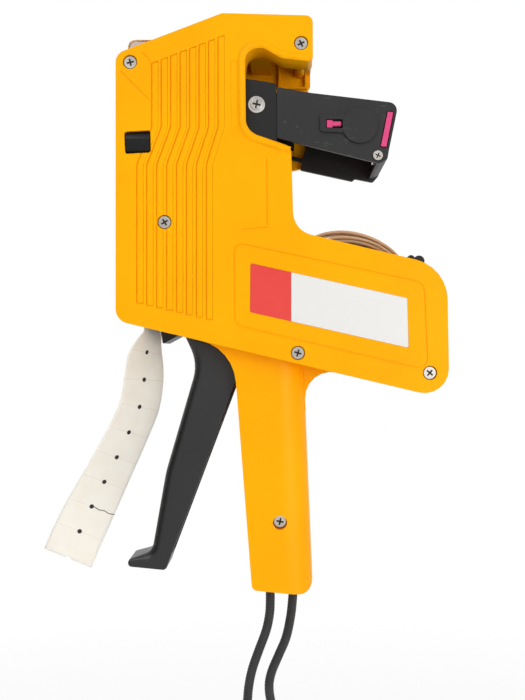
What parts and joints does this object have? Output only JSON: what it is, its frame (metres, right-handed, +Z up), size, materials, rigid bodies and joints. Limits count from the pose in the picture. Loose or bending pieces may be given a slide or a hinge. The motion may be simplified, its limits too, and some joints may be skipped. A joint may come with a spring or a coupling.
{
  "type": "price labeller",
  "caption": "Hand-held price labeller with a squeeze trigger, a rocking print head with a setting knob, a label roll, a pin feed and a wrist cord.",
  "frame": {"origin": "middle of the grip, on the plane between the two casing halves", "axes": "+X towards the label roll, +Y from the near side to the far side, +Z up along the grip"},
  "size_m": [0.1717, 0.0543, 0.3809],
  "materials": {
    "yellow_plastic": "moulded, fine satin",
    "black_plastic": "moulded, fine grain",
    "gloss_black": "polished",
    "white_plastic": "moulded nylon",
    "pink_plastic": "moulded",
    "grey_plastic": "moulded, dull",
    "steel": "drawn and ground",
    "nickel": "nickel plated",
    "band_rubber": "moulded",
    "ink_felt": "inked felt",
    "label_paper": "uncoated",
    "roll_paper": "wound edge of kraft backing",
    "core_board": "wound board",
    "plate_film": "printed film, bare",
    "cord_braid": "braided polyester"
  },
  "bodies": {
    "casing": {"left_casing": "yellow_plastic", "right_casing": "yellow_plastic", "ink_holder": "yellow_plastic", "strip_guide": "black_plastic", "platen": "black_plastic", "nose_guide": "grey_plastic", "hinge_pin": "steel", "latch_spring": "steel", "trigger_pin": "steel", "trigger_spring": "steel", "feed_shaft": "steel", "pawl_pin": "steel", "arm_pin": "steel", "guide_pin": "steel", "brake_pin": "steel", "casing_screws": "nickel", "label_web": "label_paper", "backing_strip": "label_paper", "nameplate": "plate_film", "wrist_cord": "cord_braid", "cord_knot": "cord_braid"},
    "cover": {"front_cover": "yellow_plastic"},
    "latch": {"cover_latch": "gloss_black"},
    "trigger": {"trigger": "black_plastic", "trigger_sector": "white_plastic"},
    "rod": {"pull_rod": "steel"},
    "pinion": {"feed_pinion": "white_plastic"},
    "feed": {"feed_wheel": "black_plastic"},
    "pawl": {"feed_pawl": "steel"},
    "arm": {"print_arm": "black_plastic", "head_frame": "black_plastic", "head_screw": "nickel", "bracket_screw": "nickel", "print_bands": "band_rubber", "band_wheels": "white_plastic"},
    "carriage": {"selector_bar": "pink_plastic"},
    "knob": {"selector": "black_plastic"},
    "lock": {"lock_slide": "pink_plastic"},
    "inker": {"ink_roller": "ink_felt"},
    "guide": {"guide_roller": "white_plastic"},
    "roll": {"label_roll": "roll_paper", "roll_core": "core_board", "roll_spool": "black_plastic"},
    "brake": {"roll_brake": "black_plastic"}
  },
  "joints": [
    {"name": "trigger_squeeze", "type": "hinge", "parent": "casing", "child": "trigger", "pos_m": [-0.0305, 0, 0.071], "axis": [0, -1, 0], "range_deg": [0, 18], "stiffness_Nm_per_rad": 0.9, "springref_deg": -20.05, "deforming": ["trigger_spring"]},
    {"name": "arm_rock", "type": "hinge", "parent": "casing", "child": "arm", "pos_m": [-0.0045, 0, 0.1125], "axis": [0, -1, 0], "range_deg": [0, 8]},
    {"name": "rod_swing", "type": "hinge", "parent": "arm", "child": "rod", "pos_m": [-0.02367, 0, 0.11902], "axis": [0, -1, 0], "range_deg": [-8, 0]},
    {"name": "pinion_turn", "type": "hinge", "parent": "casing", "child": "pinion", "pos_m": [-0.05401, 0, 0.08211], "axis": [0, -1, 0], "range_deg": [-60, 0]},
    {"name": "feed_turn", "type": "hinge", "parent": "casing", "child": "feed", "pos_m": [-0.05401, 0, 0.08211], "axis": [0, -1, 0], "continuous": true},
    {"name": "pawl_lift", "type": "hinge", "parent": "casing", "child": "pawl", "pos_m": [-0.0455, 0, 0.0982], "axis": [0, -1, 0], "range_deg": [0, 12], "stiffness_Nm_per_rad": 0.02, "springref_deg": -11.46},
    {"name": "cover_open", "type": "hinge", "parent": "casing", "child": "cover", "pos_m": [-0.0662, 0, 0.0718], "axis": [0, -1, 0], "range_deg": [0, 70]},
    {"name": "latch_press", "type": "slide", "parent": "casing", "child": "latch", "axis": [0, 1, 0], "range_m": [0, 0.0025], "stiffness_N_per_m": 600, "springref_m": -0.002, "deforming": ["latch_spring"]},
    {"name": "selector_pull", "type": "slide", "parent": "arm", "child": "carriage", "axis": [0, 1, 0], "range_m": [0, 0.017]},
    {"name": "knob_turn", "type": "hinge", "parent": "carriage", "child": "knob", "pos_m": [0.0309, 0, 0.1488], "axis": [0, 1, 0], "continuous": true},
    {"name": "lock_slide_travel", "type": "slide", "parent": "arm", "child": "lock", "axis": [1, 0, 0], "range_m": [0, 0.002]},
    {"name": "ink_roll", "type": "hinge", "parent": "casing", "child": "inker", "pos_m": [-0.03882, 0, 0.16911], "axis": [0, -1, 0], "continuous": true},
    {"name": "guide_roll", "type": "hinge", "parent": "casing", "child": "guide", "pos_m": [-0.001, 0, 0.1025], "axis": [0, -1, 0], "continuous": true},
    {"name": "roll_turn", "type": "hinge", "parent": "casing", "child": "roll", "pos_m": [0.028, 0, 0.076], "axis": [0, -1, 0], "continuous": true},
    {"name": "brake_lift", "type": "hinge", "parent": "casing", "child": "brake", "pos_m": [0.06, 0, 0.083], "axis": [0, -1, 0], "range_deg": [-30, 0], "stiffness_Nm_per_rad": 0.03, "springref_deg": 17.19}
  ],
  "couplings": [
    {"joint": "arm_rock", "follows": "trigger_squeeze", "ratio": 0.44444},
    {"joint": "rod_swing", "follows": "trigger_squeeze", "ratio": -0.44444},
    {"joint": "pinion_turn", "follows": "trigger_squeeze", "ratio": -3.3333}
  ]
}
